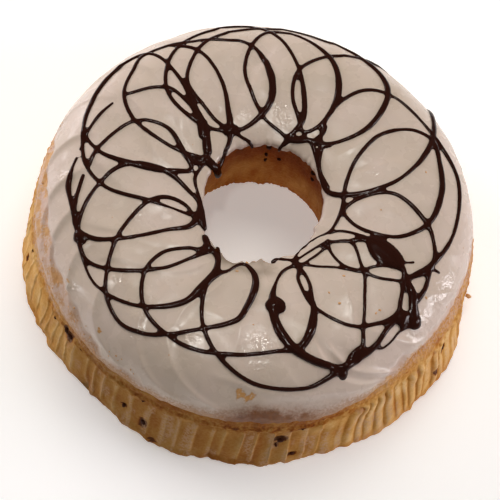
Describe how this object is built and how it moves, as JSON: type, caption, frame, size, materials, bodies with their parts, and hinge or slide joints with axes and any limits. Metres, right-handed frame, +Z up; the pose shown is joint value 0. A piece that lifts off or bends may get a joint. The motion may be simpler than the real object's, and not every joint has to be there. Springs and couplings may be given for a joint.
{
  "type": "madeira ring cake",
  "caption": "Ring-shaped sponge cake with finely fluted sides, pale icing over its rounded top and a dark chocolate line piped on it in loops; a whole cake to slice and serve.",
  "frame": {"origin": "middle of the base, on the surface that the cake stands on", "axes": "+Z up along the hole, -Y towards the viewer, +X to the viewer's right"},
  "size_m": [0.23, 0.2344, 0.0655],
  "materials": {
    "sponge": "matte, golden brown baked crust",
    "icing": "satin, off-white icing",
    "chocolate": "glossy, dark chocolate"
  },
  "bodies": {
    "root": {"sponge": "sponge", "icing": "icing"}
  },
  "joints": []
}
